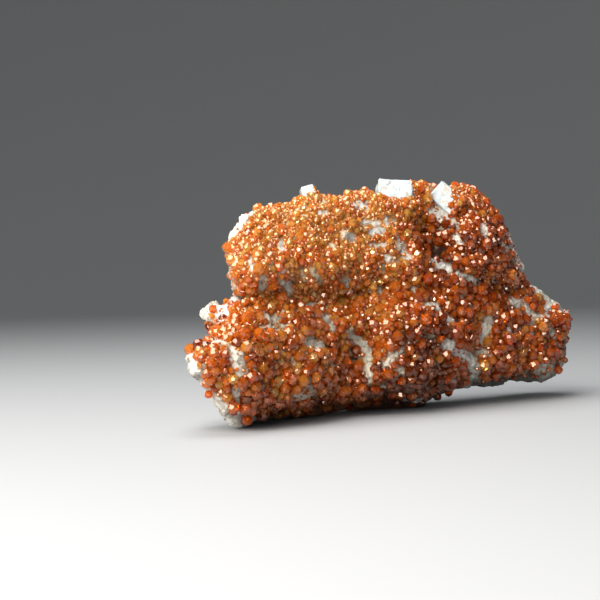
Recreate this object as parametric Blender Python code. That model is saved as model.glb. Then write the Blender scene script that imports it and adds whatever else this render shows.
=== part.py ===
"""Spessartine garnet on feldspar: a thick plate of white feldspar whose front is crusted with orange garnets.

Lengths are millimetres until MM turns them to metres. The shape is first drawn as it is seen: u runs right and
v up in a sight plane, and w runs away from the eye. Each point is then carried along its own line of sight to
its real depth, and the whole is turned so that the long face of the plate looks along -Y.
"""

import math

import bmesh
import bpy
import numpy as np
from mathutils import Matrix, Vector
from mathutils.bvhtree import BVHTree

MM = 0.001

# The eye that the outline was drawn from.
SIGHT_DISTANCE = 490.0
SIGHT_U = -22.2
SIGHT_HEIGHT = 44.5
FACE_YAW = math.radians(40.0)
BASE_CENTRE = (-0.64, -2.14)

# Outline of the specimen in the sight plane, clockwise from the left tip.
OUTLINE = [
    (-55.5, 16), (-53.5, 19), (-50, 21.5), (-48, 24.5), (-48, 26.5), (-50.3, 28), (-50.5, 30), (-47.5, 31.2),
    (-43.5, 30.5), (-42.5, 35.5), (-42.5, 41.5), (-43.5, 48), (-41, 51.5), (-38.5, 56), (-34, 58), (-28, 60.5),
    (-22, 62), (-19, 63.5), (-15, 62.8), (-10, 62), (-4, 63), (-2.5, 61.8), (2, 63.5), (10, 66), (14.5, 65),
    (17, 63.5), (21.5, 65), (25.5, 65), (30, 63.5), (31.8, 60.5), (32.5, 57.5), (35.5, 54), (38.5, 50.5),
    (40.5, 45), (42, 40), (41.5, 36), (46, 33), (50.5, 29), (55, 26), (55.2, 21.5), (53, 18), (53, 13),
    (50.5, 9.5), (46.5, 6.5), (41, 7.5), (36, 7), (26, 6.5), (21.5, 5), (17, 2.5), (12.5, 0), (7, 1), (2.5, 2.3),
    (-3, 1), (-9, 0.8), (-11.5, -1.8), (-13.5, 0.6), (-18.5, 1), (-21.5, -1.5), (-26, -0.8), (-31, 0.4),
    (-35, -2.5), (-38, -4.8), (-42, -4.3), (-45, 1), (-49.5, 7.5), (-55, 12),
]

# Plate thickness before and behind the plane of the outline, and how far in its rims are rounded.
FRONT_DEPTH = 14.0
BACK_DEPTH = 24.0
RIM_ROUND = 9.0
RIM_POWER = 2.4
LEAN = 0.15
MID_OFFSET = -8.0
TOP_SLOPE_FROM = 41.0
TOP_SLOPE = 0.35
BACK_THIN_FROM = 28.0
BACK_THIN = 0.3
RIM_ROUGH_FROM, RIM_ROUGH_RUN = 0.3, 9.0

# Unevenness, as waves: height, length, and a number that picks their directions.
FRONT_WAVES = [(1.1, 13.0, 11), (0.5, 6.0, 12)]
BACK_WAVES = [(2.6, 24.0, 13), (1.2, 11.0, 14)]
RIM_WAVES = [(1.3, 15.0, 15), (0.5, 7.0, 16)]
BEND_WAVES = [(2.2, 42.0, 17)]
WRAP_WAVES = [(1.5, 20.0, 18)]
WAVES_IN_EACH = 9

# Relief of the front: name, u, v, half-width, half-height, rise towards the eye, squareness.
RELIEF = [
    ("lower left block", -34.0, 13.0, 18.0, 14.0, 5.0, 3.0),
    ("brow", -14.0, 41.0, 30.0, 5.5, 3.5, 1.0),
    ("undercut", -4.0, 33.5, 18.0, 4.0, -4.0, 1.0),
    ("belly", 11.0, 24.0, 14.0, 9.0, 3.5, 1.0),
    ("bay", -8.0, 13.0, 6.5, 9.0, -5.0, 1.5),
    ("lower middle", 8.0, 9.0, 8.0, 6.0, 2.5, 1.0),
    ("right lobe", 29.5, 50.0, 12.0, 14.0, 6.5, 1.3),
    ("gully", 17.0, 47.0, 4.6, 9.0, -5.0, 1.0),
    ("crevice", 34.5, 33.5, 6.0, 2.8, -5.0, 1.0),
    ("shoulder", 42.0, 19.0, 10.0, 9.0, 3.0, 1.0),
    ("knob", 12.5, 60.0, 5.0, 4.0, 3.0, 1.0),
]

# Strips of bare feldspar that the crust leaves open: name, one end (u, v), the other end, half-width.
BARE_STRIPS = [
    ("upper left rim", (-42.5, 49.5), (-34.5, 58.5), 2.2),
    ("left lump", (-51.0, 29.0), (-46.5, 30.0), 2.3),
    ("left tip", (-56.0, 14.0), (-53.0, 15.5), 2.2),
    ("lower left edge", (-55.0, 12.0), (-45.0, 0.5), 3.2),
    ("lower left foot", (-44.5, 0.0), (-41.0, -5.0), 3.6),
    ("beige patch", (-41.0, 16.5), (-40.5, 12.5), 1.6),
    ("ledge", (-33.0, 24.5), (-28.0, 24.8), 1.6),
    ("grey patch", (-19.5, 19.0), (-16.5, 16.0), 1.8),
    ("bay floor", (-4.5, 20.0), (-4.5, 10.5), 2.0),
    ("white foot", (26.0, 13.0), (27.0, 8.5), 1.6),
    ("right underside", (24.0, 5.0), (47.0, 6.0), 2.6),
    ("right end", (50.0, 8.0), (53.5, 12.0), 2.6),
    ("shoulder rim", (45.0, 34.5), (54.0, 27.5), 2.3),
    ("right rim", (40.5, 52.0), (42.5, 40.0), 1.8),
]

# Feldspar crystals on the rim: name, u, v, w, sizes, and turns in degrees about u, w and v.
CRYSTALS = [
    ("small left crystal", -18.9, 61.0, 1.0, (4.0, 5.0, 6.0), (-8, -16, 8)),
    ("top crystal", 5.0, 60.0, 0.5, (10.0, 8.5, 9.0), (-16, 4, 4)),
    ("right crystal", 20.2, 59.4, -8.0, (8.8, 8.5, 6.4), (-6, 42, -14)),
]
CRYSTAL_BEVEL = 0.7
CRYSTAL_CLEARANCE = 1.8

# Single garnets on bare feldspar: name, u, v, diameter.
SINGLE_GARNETS = [
    ("garnet_on_lump", -46.6, 28.9, 2.6),
    ("garnet_left_foot_1", -38.9, -0.9, 3.6),
    ("garnet_left_foot_2", -42.0, 2.2, 3.4),
    ("garnet_left_edge", -47.4, 6.0, 2.6),
    ("garnet_shoulder", 49.6, 27.6, 2.8),
    ("garnet_right_end", 49.6, 10.6, 3.0),
]
SINGLE_SUNK = 0.22
SINGLE_CLEARANCE = 1.7

# Cleavage faces of the back and left end, in the turned frame: a point on each and its outward direction.
CLEAVAGES = [
    ("back", (10.5, 24.3, 30.0), (0.03, 1.0, 0.05)),
    ("back left", (-23.5, 20.3, 24.0), (-0.34, 0.93, -0.12)),
    ("back right", (44.5, 20.8, 24.0), (0.36, 0.92, 0.10)),
    ("upper back", (-3.5, 16.8, 52.0), (-0.16, 0.74, 0.64)),
    ("upper right back", (36.5, 15.8, 50.0), (0.30, 0.80, 0.52)),
    ("left end", (-57.5, 14.8, 25.0), (-0.78, 0.60, -0.15)),
    ("right end", (70.5, 12.8, 20.0), (0.86, 0.50, 0.05)),
]

HALF_SPACE_SIZE = 260.0

# Behind its front edge the plate reaches down to the table between these, so that it stands there unheld.
HEEL_LEFT, HEEL_RIGHT, HEEL_END_RUN = -42.0, 16.0, 4.0
HEEL_DROP = 5.0
HEEL_FRONT, HEEL_FRONT_RUN = 4.0, 6.0
HEEL_TOP, HEEL_TOP_RUN = 25.0, 15.0

# Garnet crust. Heights are above the feldspar.
GARNET_SPACING = 3.1
BARE_SPACING = 4.2
BACK_SPACING = 6.6
CRUST_GAP = 0.4
CRUST_VALLEY = 1.2
CRUST_TIP = (2.3, 3.4)
CRUST_EDGE = 1.1
CRUST_GROUND = 3.4
MATRIX_INSET = 2.0

# How far the crust wraps round behind the plane of the outline, at the sides and, higher up, at the top.
WRAP_SIDE, WRAP_TOP = 3.0, 8.0
WRAP_FROM, WRAP_RUN = 40.0, 20.0

# The largest crystals of the crust are blunt, and none may cross another or touch the feldspar.
BIG_CRYSTALS = 100
SHOULDER_OUT, SHOULDER_UP = 0.55, 0.86
SETTLE_ROUNDS = 25
SETTLE_STEP = 0.12

# The feldspar's skin is found along rays from the centre, and its outline and depths are read from a map.
SEED = 7
MAP_HALF, MAP_CELL = 90.0, 0.6
DIRECTIONS = 60000
CENTRE = np.array([0.0, 31.0, 2.0])
STRETCH = np.array([58.0, 34.0, 24.0])
NEAR, FAR = 0.15, 1.7
RAY_STEPS = 50
HALVINGS = 10

FELDSPAR_WHITE = (0.80, 0.80, 0.76, 1.0)
GARNET_ORANGE = (0.75, 0.16, 0.02, 1.0)


def clear_scene():
    for old in list(bpy.data.objects):
        bpy.data.objects.remove(old)


def finish_material(name, colour, roughness):
    material = bpy.data.materials.new(name)
    material.use_nodes = True
    shader = material.node_tree.nodes["Principled BSDF"]
    shader.inputs["Base Color"].default_value = colour
    shader.inputs["Roughness"].default_value = roughness
    shader.inputs["Metallic"].default_value = 0.0
    return material


def waves(points, wavelength, seed):
    """Smooth noise between about -1 and 1, as a sum of sine waves in fixed directions."""
    rng = np.random.default_rng(seed)
    directions = rng.normal(size=(WAVES_IN_EACH, 3))
    directions /= np.linalg.norm(directions, axis=1)[:, None]
    turns = points @ directions.T * (math.tau / wavelength) + rng.uniform(0, math.tau, WAVES_IN_EACH)
    return np.sin(turns).sum(axis=1) / math.sqrt(WAVES_IN_EACH)


def uneven(points, layers):
    return sum(height * waves(points, wavelength, seed) for height, wavelength, seed in layers)


def in_plane(u, v):
    return np.stack([u, v, np.zeros(len(u))], axis=1)


def outline_distance(u, v):
    """Distance inside the outline, negative outside it, for arrays of points."""
    corners = np.array(OUTLINE)
    ends = np.roll(corners, -1, axis=0)
    points = np.stack([u, v], axis=-1)[:, None, :]
    along = ends - corners
    share = ((points - corners) * along).sum(-1) / (along**2).sum(-1)
    nearest = corners + np.clip(share, 0, 1)[..., None] * along
    distance = np.linalg.norm(points - nearest, axis=-1).min(axis=1)
    above = (corners[:, 1] > v[:, None]) != (ends[:, 1] > v[:, None])
    cross = corners[:, 0] + (v[:, None] - corners[:, 1]) * along[:, 0] / np.where(along[:, 1], along[:, 1], 1e-9)
    inside = (above & (u[:, None] < cross)).sum(axis=1) % 2 == 1
    return np.where(inside, distance, -distance)


def bareness(u, v):
    """1 inside a bare strip, falling to 0 within a short way of it."""
    bare = np.zeros(len(u))
    for _, start, end, half_width in BARE_STRIPS:
        along_u, along_v = end[0] - start[0], end[1] - start[1]
        share = ((u - start[0]) * along_u + (v - start[1]) * along_v) / (along_u**2 + along_v**2)
        share = np.clip(share, 0, 1)
        distance = np.hypot(u - start[0] - share * along_u, v - start[1] - share * along_v)
        bare = np.maximum(bare, np.clip(half_width + 0.5 - distance, 0, 1))
    return bare


def front_depth(u, v):
    """How far the front stands out from the plane of the outline."""
    depth = np.full(len(u), FRONT_DEPTH)
    for _, centre_u, centre_v, half_u, half_v, rise, squareness in RELIEF:
        reach = ((u - centre_u) / half_u) ** 2 + ((v - centre_v) / half_v) ** 2
        depth += rise * np.exp(-(reach**squareness))
    depth -= TOP_SLOPE * np.clip(v - TOP_SLOPE_FROM, 0, None)
    return depth + uneven(in_plane(u, v), FRONT_WAVES)


def back_depth(u, v):
    depth = BACK_DEPTH - BACK_THIN * np.clip(u - BACK_THIN_FROM, 0, None)
    return depth + uneven(in_plane(u, v), BACK_WAVES)


class SightMap:
    """The rim distance and the depths, worked out once on a grid of (u, v) and read between its points."""

    def __init__(self):
        us = np.arange(-MAP_HALF, MAP_HALF, MAP_CELL)
        u, v = (axis.ravel() for axis in np.meshgrid(us, us, indexing="ij"))
        inset = MATRIX_INSET * (1 - bareness(u, v))
        columns = [outline_distance(u, v), inset, front_depth(u, v), back_depth(u, v)]
        self.values = np.stack(columns, axis=-1).reshape(len(us), len(us), len(columns))

    def at(self, u, v):
        """Rim distance, inset of the feldspar, depth of the front and of the back."""
        last = len(self.values) - 1.001
        column = np.clip((u + MAP_HALF) / MAP_CELL, 0, last)
        row = np.clip((v + MAP_HALF) / MAP_CELL, 0, last)
        i, j = column.astype(int), row.astype(int)
        a, b = (column - i)[:, None], (row - j)[:, None]
        low = self.values[i, j] * (1 - a) + self.values[i + 1, j] * a
        high = self.values[i, j + 1] * (1 - a) + self.values[i + 1, j + 1] * a
        return (low * (1 - b) + high * b).T


def rounded(distance):
    """Share of the full depth at a distance in from the rim."""
    share = np.clip(distance / RIM_ROUND, 0, 1)
    return (1 - (1 - share) ** RIM_POWER) ** (1 / RIM_POWER)


def heel_drop(u, v, w):
    """How much further down than the outline the hidden part behind the front edge reaches."""
    along = np.clip((u - HEEL_LEFT) / HEEL_END_RUN, 0, 1) * np.clip((HEEL_RIGHT - u) / HEEL_END_RUN, 0, 1)
    behind = np.clip((w - HEEL_FRONT) / HEEL_FRONT_RUN, 0, 1)
    low = np.clip((HEEL_TOP - v) / HEEL_TOP_RUN, 0, 1)
    return HEEL_DROP * along * behind * low


def is_inside(points, sight_map):
    """Whether points (u, v, w) lie in the feldspar."""
    u, v, w = points.T
    distance, inset, front, back = sight_map.at(u, v + heel_drop(u, v, w))
    rough = np.clip(uneven(points, RIM_WAVES) + 0.5, 0, None)
    depth = distance - inset - rough * np.clip(np.abs(w) / RIM_ROUGH_RUN - RIM_ROUGH_FROM, 0, 1)
    share = rounded(depth)
    return (depth > 0) & (w > -front * share) & (w < back * share)


def surface_points(sight_map):
    """Directions spread evenly over a ball, and the feldspar's outermost point along each."""
    turn = np.arange(DIRECTIONS) + 0.5
    height = 1 - 2 * turn / DIRECTIONS
    angle = math.pi * (1 + math.sqrt(5)) * turn
    flat = np.sqrt(1 - height**2)
    directions = np.stack([flat * np.cos(angle), flat * np.sin(angle), height], axis=1)
    rays = directions * STRETCH
    steps = np.linspace(NEAR, FAR, RAY_STEPS)
    last = np.full(DIRECTIONS, steps[0])
    for step in steps:
        last[is_inside(CENTRE + rays * step, sight_map)] = step
    low, high = last, last + (steps[1] - steps[0])
    for _ in range(HALVINGS):
        middle = (low + high) / 2
        inside = is_inside(CENTRE + rays * middle[:, None], sight_map)
        low = np.where(inside, middle, low)
        high = np.where(inside, high, middle)
    return directions, CENTRE + rays * low[:, None]


def carried(points):
    """Points (u, v, w) at their real depth, turned into the part's own frame."""
    u, v, w = points.T
    depth = w + MID_OFFSET + math.tan(FACE_YAW) * u + LEAN * v + uneven(in_plane(u, v), BEND_WAVES)
    far = (SIGHT_DISTANCE + depth) / SIGHT_DISTANCE
    x = SIGHT_U + (u - SIGHT_U) * far
    z = SIGHT_HEIGHT + (v - SIGHT_HEIGHT) * far
    cos, sin = math.cos(FACE_YAW), math.sin(FACE_YAW)
    return np.stack([x * cos + depth * sin - BASE_CENTRE[0], depth * cos - x * sin - BASE_CENTRE[1], z], axis=1)


def spread_out(points, spacing):
    """Indices of points kept so that none is nearer another than its spacing."""
    order = np.random.default_rng(SEED).permutation(len(points))
    cell = float(spacing.max())
    kept = {}
    chosen = []
    for index in order:
        point = points[index]
        home = tuple((point // cell).astype(int))
        near = [
            other
            for i in (-1, 0, 1)
            for j in (-1, 0, 1)
            for k in (-1, 0, 1)
            for other in kept.get((home[0] + i, home[1] + j, home[2] + k), ())
        ]
        if near and (((points[near] - point) ** 2).sum(axis=1) < spacing[index] ** 2).any():
            continue
        kept.setdefault(home, []).append(index)
        chosen.append(index)
    return np.array(sorted(chosen))


def skin(directions, points):
    """Triangles joining points, as the hull of their directions, then evened out where the points lie."""
    mesh = bmesh.new()
    for direction in directions:
        mesh.verts.new(direction)
    bmesh.ops.convex_hull(mesh, input=mesh.verts, use_existing_faces=False)
    bmesh.ops.triangulate(mesh, faces=mesh.faces)
    for vert, point in zip(mesh.verts, points):
        vert.co = point
    bmesh.ops.recalc_face_normals(mesh, faces=mesh.faces)
    bmesh.ops.beautify_fill(mesh, faces=mesh.faces, edges=mesh.edges, method="AREA")
    if mesh.calc_volume(signed=True) < 0:
        bmesh.ops.reverse_faces(mesh, faces=mesh.faces)
    mesh.verts.index_update()
    faces = np.array([[vert.index for vert in face.verts] for face in mesh.faces])
    mesh.free()
    return faces


def vertex_normals(points, faces):
    corners = points[faces]
    cross = np.cross(corners[:, 1] - corners[:, 0], corners[:, 2] - corners[:, 0])
    normals = np.zeros_like(points)
    for corner in range(3):
        np.add.at(normals, faces[:, corner], cross)
    return normals / np.linalg.norm(normals, axis=1)[:, None]


def crust_faces(faces, bearing):
    """The faces whose corners all bear garnets, as one sheet with no pinched corner."""
    chosen = {tuple(face) for face in faces if bearing[face].all()}
    while True:
        chosen = largest_sheet(chosen)
        pinched = pinched_faces(chosen)
        if not pinched:
            return np.array(sorted(chosen))
        chosen -= pinched


def edge_neighbours(chosen):
    edges = {}
    for face in chosen:
        for a, b in zip(face, face[1:] + face[:1]):
            edges.setdefault((min(a, b), max(a, b)), []).append(face)
    return edges


def connected(start, neighbours):
    found, queue = {start}, [start]
    while queue:
        for other in neighbours[queue.pop()]:
            if other not in found:
                found.add(other)
                queue.append(other)
    return found


def largest_sheet(chosen):
    neighbours = {face: [] for face in chosen}
    for pair in edge_neighbours(chosen).values():
        if len(pair) == 2:
            neighbours[pair[0]].append(pair[1])
            neighbours[pair[1]].append(pair[0])
    left, best = set(chosen), set()
    while left:
        sheet = connected(min(left), neighbours)
        left -= sheet
        if len(sheet) > len(best):
            best = sheet
    return best


def pinched_faces(chosen):
    """Faces of the smaller fans at corners where two fans of the sheet only touch."""
    around = {}
    for face in chosen:
        for corner in face:
            around.setdefault(corner, []).append(face)
    dropped = set()
    for corner, fan in around.items():
        neighbours = {
            face: [other for other in fan if other != face and len(set(face) & set(other)) == 2] for face in fan
        }
        first = connected(fan[0], neighbours)
        if len(first) < len(fan):
            rest = set(fan) - first
            dropped |= rest if len(rest) <= len(first) else first
    return dropped


def crust_mesh(points, normals, sheet, tips, big):
    """A shell over the sheet: a crystal's tip over each corner, and a valley over the middle of each edge."""
    shell = Shell(points, normals, sheet, tips)
    for face in shell.faces:
        shell.close_under(face)
        shell.cover(face, big)
    return np.array(shell.points), np.array(shell.outward), np.array(shell.triangles)


def settle(places, outward, triangles, rock):
    """Lifts the crust off the feldspar, and lowers its tips off one another, until nothing crosses."""
    for _ in range(SETTLE_ROUNDS):
        shell = BVHTree.FromPolygons([Vector(place) for place in places], triangles.tolist())
        touching = {triangle for _, triangle in rock.overlap(shell)}
        crossing = {
            triangle
            for triangle, other in shell.overlap(shell)
            if not set(triangles[triangle]) & set(triangles[other])
        }
        if not touching and not crossing:
            break
        lifted = np.unique(triangles[sorted(touching)]) if touching else []
        lowered = np.setdiff1d(np.unique(triangles[sorted(crossing)]), lifted) if crossing else []
        for corner in lifted:
            places[corner] += outward[corner] * SETTLE_STEP
        for corner in lowered:
            height = rock.find_nearest(Vector(places[corner]))[3]
            if height > CRUST_VALLEY:
                places[corner] -= outward[corner] * SETTLE_STEP


class Shell:
    """The crust's points and triangles, as they are added."""

    def __init__(self, points, normals, sheet, tips):
        self.faces = [tuple(int(corner) for corner in face) for face in sheet]
        self.base, self.normals, self.tips = points, normals, tips
        self.edges = edge_neighbours(self.faces)
        self.rim_edges = {edge for edge, pair in self.edges.items() if len(pair) == 1}
        self.rim = {corner for edge in self.rim_edges for corner in edge}
        self.points, self.outward, self.triangles, self.known = [], [], [], {}

    def point(self, key, base, normal, height):
        if key not in self.known:
            self.known[key] = len(self.points)
            self.points.append(base + normal * height)
            self.outward.append(normal)
        return self.known[key]

    def under(self, corner):
        return self.point(("under", corner), self.base[corner], self.normals[corner], CRUST_GAP)

    def tip(self, corner):
        height = CRUST_EDGE if corner in self.rim else self.tips[corner]
        return self.point(("tip", corner), self.base[corner], self.normals[corner], height)

    def valley(self, a, b):
        edge = (min(a, b), max(a, b))
        normal = self.normals[a] + self.normals[b]
        normal = normal / np.linalg.norm(normal)
        return self.point(("valley", edge), (self.base[a] + self.base[b]) / 2, normal, CRUST_VALLEY)

    def shoulder(self, corner, other):
        """A point on the way from a big crystal's tip to a valley, raised so that the crystal is blunt."""
        tip, valley = self.points[self.tip(corner)], self.points[self.valley(corner, other)]
        normal = self.normals[corner]
        across = (valley - tip) - normal * np.dot(valley - tip, normal)
        fall = np.dot(valley - tip, normal) * (1 - SHOULDER_UP)
        return self.point(("shoulder", corner, other), tip + across * SHOULDER_OUT, normal, fall)

    def close_under(self, face):
        a, b, c = (self.under(corner) for corner in face)
        self.triangles.append((c, b, a))

    def cover(self, face, big):
        a, b, c = face
        self.triangles.append((self.valley(a, b), self.valley(b, c), self.valley(c, a)))
        for first, second, third in ((a, b, c), (b, c, a), (c, a, b)):
            self.corner(first, second, third, first in big and first not in self.rim)
            if (min(first, second), max(first, second)) in self.rim_edges:
                self.wall(first, second)

    def corner(self, corner, right, left, is_big):
        tip, start, end = self.tip(corner), self.valley(corner, right), self.valley(corner, left)
        if not is_big:
            self.triangles.append((tip, start, end))
            return
        first, last = self.shoulder(corner, right), self.shoulder(corner, left)
        self.triangles += [(tip, first, last), (first, start, end), (first, end, last)]

    def wall(self, first, second):
        """The crust's edge, from its underside up to its tips and valley."""
        low_a, low_b = self.under(first), self.under(second)
        high_a, valley, high_b = self.tip(first), self.valley(first, second), self.tip(second)
        self.triangles += [(low_a, valley, high_a), (low_a, low_b, valley), (low_b, high_b, valley)]


def mesh_object(name, points, faces, material=None):
    """An object from points in millimetres."""
    mesh = bpy.data.meshes.new(name)
    mesh.from_pydata([tuple(p) for p in points * MM], [], [tuple(int(i) for i in f) for f in faces])
    if material:
        mesh.materials.append(material)
    mesh.update()
    made = bpy.data.objects.new(name, mesh)
    bpy.context.scene.collection.objects.link(made)
    return made


def block(name, size, matrix, bevel):
    """A cube with its edges bevelled, whose matrix places it in millimetres."""
    made = bmesh.new()
    bmesh.ops.create_cube(made, size=1.0, matrix=Matrix.Diagonal((*size, 1.0)))
    if bevel:
        bmesh.ops.bevel(made, geom=made.edges, offset=bevel, segments=1, affect="EDGES")
    bmesh.ops.transform(made, matrix=matrix, verts=made.verts)
    return object_from(name, made)


def object_from(name, made, material=None):
    points = np.array([vert.co for vert in made.verts])
    made.verts.index_update()
    faces = [[vert.index for vert in face.verts] for face in made.faces]
    made.free()
    return mesh_object(name, points, faces, material)


def as_helper(helper):
    helper.hide_render = True
    helper.display_type = "WIRE"
    return helper


def boolean(target, helper, operation):
    modifier = target.modifiers.new(f"{operation.lower()} {helper.name}", "BOOLEAN")
    modifier.operation = operation
    modifier.object = helper
    modifier.solver = "EXACT"


def half_space(name, point, outward):
    """A large box that fills the far side of a plane."""
    direction = Vector(outward).normalized()
    turn = direction.to_track_quat("Z", "Y").to_matrix().to_4x4()
    centre = Vector(point) + direction * HALF_SPACE_SIZE / 2
    return as_helper(block(name, (HALF_SPACE_SIZE,) * 3, Matrix.Translation(centre) @ turn, 0))


def sight_point(u, v, w):
    return Vector(carried(np.array([[u, v, w]]))[0])


def crystal_matrix(u, v, w, turns):
    about_u, about_w, about_v = (math.radians(turn) for turn in turns)
    facing = Matrix.Rotation(about_v - FACE_YAW, 4, "Z")
    lean = Matrix.Rotation(about_w, 4, "Y") @ Matrix.Rotation(about_u, 4, "X")
    return Matrix.Translation(sight_point(u, v, w)) @ facing @ lean


def clear_of_crystals(points):
    """Whether places are far enough from the rim's feldspar crystals to bear garnets."""
    clear = np.ones(len(points), dtype=bool)
    for _, u, v, w, size, turns in CRYSTALS:
        local = np.array(crystal_matrix(u, v, w, turns).inverted())
        places = points @ local[:3, :3].T + local[:3, 3]
        clear &= (np.abs(places) > np.array(size) / 2 + CRYSTAL_CLEARANCE).any(axis=1)
    return clear


def clear_of_singles(u, v, w):
    """Whether places are far enough from the single garnets for the crust to end short of them."""
    clear = np.ones(len(u), dtype=bool)
    for _, centre_u, centre_v, diameter in SINGLE_GARNETS:
        reach = diameter / 2 + SINGLE_CLEARANCE
        clear &= (np.hypot(u - centre_u, v - centre_v) > reach) | (w > WRAP_TOP)
    return clear


def trapezohedron(diameter):
    """The 24-faced crystal of garnet, with kite faces: the form {211}."""
    made = bmesh.new()
    axis, edge, corner = diameter / 2, diameter / 3, diameter / 4
    for place in np.ndindex(3, 3, 3):
        signs = Vector(place) - Vector((1, 1, 1))
        reach = (0, axis, edge, corner)[int(sum(abs(sign) for sign in signs))]
        if reach:
            made.verts.new(signs * reach)
    bmesh.ops.convex_hull(made, input=made.verts, use_existing_faces=False)
    return made


def single_garnet(name, u, v, diameter, rock, material, turn):
    """A crystal sunk a little into the feldspar, cut off just clear of it."""
    near, far = sight_point(u, v, -60.0), sight_point(u, v, 60.0)
    place, normal, _, _ = rock.ray_cast(near, (far - near).normalized())
    made = trapezohedron(diameter)
    centre = place + normal * (CRUST_GAP + diameter * (0.5 - SINGLE_SUNK))
    spin = normal.to_track_quat("Z", "Y").to_matrix().to_4x4() @ Matrix.Rotation(turn, 4, "Z")
    tilt = Matrix.Rotation(turn * 0.3, 4, "X")
    bmesh.ops.transform(made, matrix=Matrix.Translation(centre) @ spin @ tilt, verts=made.verts)
    everything = made.verts[:] + made.edges[:] + made.faces[:]
    seat = place + normal * CRUST_GAP
    cut = bmesh.ops.bisect_plane(made, geom=everything, plane_co=seat, plane_no=normal, clear_inner=True)
    edges = [piece for piece in cut["geom_cut"] if isinstance(piece, bmesh.types.BMEdge)]
    bmesh.ops.holes_fill(made, edges=edges)
    bmesh.ops.recalc_face_normals(made, faces=made.faces)
    return object_from(name, made, material)


def bears_garnets(u, v, w, z):
    """Whether places on the feldspar are crusted: the front, and a strip of uneven width past its rim."""
    wrap = WRAP_SIDE + (WRAP_TOP - WRAP_SIDE) * np.clip((v - WRAP_FROM) / WRAP_RUN, 0, 1)
    wrap += uneven(in_plane(u, v), WRAP_WAVES)
    return (bareness(u, v) < 0.9) & (w < wrap) & (z > CRUST_GROUND)


def main():
    clear_scene()
    feldspar = finish_material("white_feldspar", FELDSPAR_WHITE, 0.75)
    garnet = finish_material("spessartine_orange", GARNET_ORANGE, 0.15)

    sight_map = SightMap()
    directions, drawn = surface_points(sight_map)
    real = carried(drawn)
    u, v, w = drawn.T
    bearing = bears_garnets(u, v, w, real[:, 2]) & clear_of_crystals(real) & clear_of_singles(u, v, w)
    spacing = np.where(bearing, GARNET_SPACING, np.where(w < 6.0, BARE_SPACING, BACK_SPACING))
    kept = spread_out(real, spacing)
    points = real[kept]
    faces = skin(directions[kept], points)
    normals = vertex_normals(points, faces)

    matrix_rock = mesh_object("feldspar_matrix", points, faces, feldspar)
    for name, u, v, w, size, turns in CRYSTALS:
        crystal = as_helper(block(name, size, crystal_matrix(u, v, w, turns), CRYSTAL_BEVEL))
        boolean(matrix_rock, crystal, "UNION")
    for name, point, outward in CLEAVAGES:
        boolean(matrix_rock, half_space(name, point, outward), "DIFFERENCE")
    boolean(matrix_rock, half_space("table", (0, 0, 0), (0, 0, -1)), "DIFFERENCE")

    sheet = crust_faces(faces, bearing[kept])
    tips = np.random.default_rng(SEED + 1).uniform(*CRUST_TIP, len(points))
    big = set(np.argsort(-tips)[:BIG_CRYSTALS].tolist())
    rock = BVHTree.FromPolygons([Vector(point) for point in points], faces.tolist())
    crust_points, outward, crust_triangles = crust_mesh(points, normals, sheet, tips, big)
    settle(crust_points, outward, crust_triangles, rock)
    mesh_object("garnet_crust", crust_points, crust_triangles, garnet)
    for number, (name, u, v, diameter) in enumerate(SINGLE_GARNETS):
        single_garnet(name, u, v, diameter, rock, garnet, 0.7 * number)


main()
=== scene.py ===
"""Looks of the spessartine specimen: a rough feldspar plate, with thousands of garnets grown over its front.

Lengths are millimetres until MM turns them to metres. Places on the garnet face are given as the camera sees
them: u runs right and v up in the plane that passes through the specimen, square to the level line of sight.
"""

import math

import bmesh
import bpy
import numpy as np
from mathutils import Matrix, Vector, noise
from mathutils.kdtree import KDTree


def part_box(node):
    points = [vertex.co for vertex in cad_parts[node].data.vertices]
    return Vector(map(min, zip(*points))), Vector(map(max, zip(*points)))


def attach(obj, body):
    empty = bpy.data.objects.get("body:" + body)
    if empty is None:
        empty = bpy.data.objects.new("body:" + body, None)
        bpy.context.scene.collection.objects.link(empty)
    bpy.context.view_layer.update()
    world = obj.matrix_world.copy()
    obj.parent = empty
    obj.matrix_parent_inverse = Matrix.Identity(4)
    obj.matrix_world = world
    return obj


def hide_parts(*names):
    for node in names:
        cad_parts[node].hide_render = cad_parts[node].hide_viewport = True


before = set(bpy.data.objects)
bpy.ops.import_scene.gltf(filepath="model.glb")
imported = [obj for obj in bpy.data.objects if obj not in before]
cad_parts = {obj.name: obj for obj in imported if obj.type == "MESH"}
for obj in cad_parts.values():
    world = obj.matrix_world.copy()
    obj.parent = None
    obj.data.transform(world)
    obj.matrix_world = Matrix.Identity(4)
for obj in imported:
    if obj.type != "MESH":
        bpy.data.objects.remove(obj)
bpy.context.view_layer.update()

MM = 0.001

# The camera: its distance from the sight plane, its place in that plane, the specimen's turn to it, the
# middle of the specimen's base, and the camera's pitch, roll and lens.
SIGHT_DISTANCE = 490.0
SIGHT_U = -22.2
SIGHT_HEIGHT = 44.5
FACE_YAW = math.radians(40.0)
BASE_CENTRE = (-0.64, -2.14)
CAMERA_PITCH = math.radians(1.48)
CAMERA_ROLL = math.radians(1.22)
CAMERA_LENS = 103.7
CAMERA_SENSOR = 36.0

# The level direction from the specimen to the camera.
TOWARDS_CAMERA = np.array([-math.sin(FACE_YAW), -math.cos(FACE_YAW), 0.0])

# Feldspar mesh: its voxel, and how it is relaxed and roughened.
STONE_VOXEL = 0.58
RELAX_ROUNDS = 14
SHARP_ANGLE = math.radians(28)

# The floor, in metres: its flat radius, the radius of the sweep at its edge, the height of the wall.
FLOOR_RADIUS = 0.9
SWEEP = 0.9
WALL_TOP = 1.3

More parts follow.
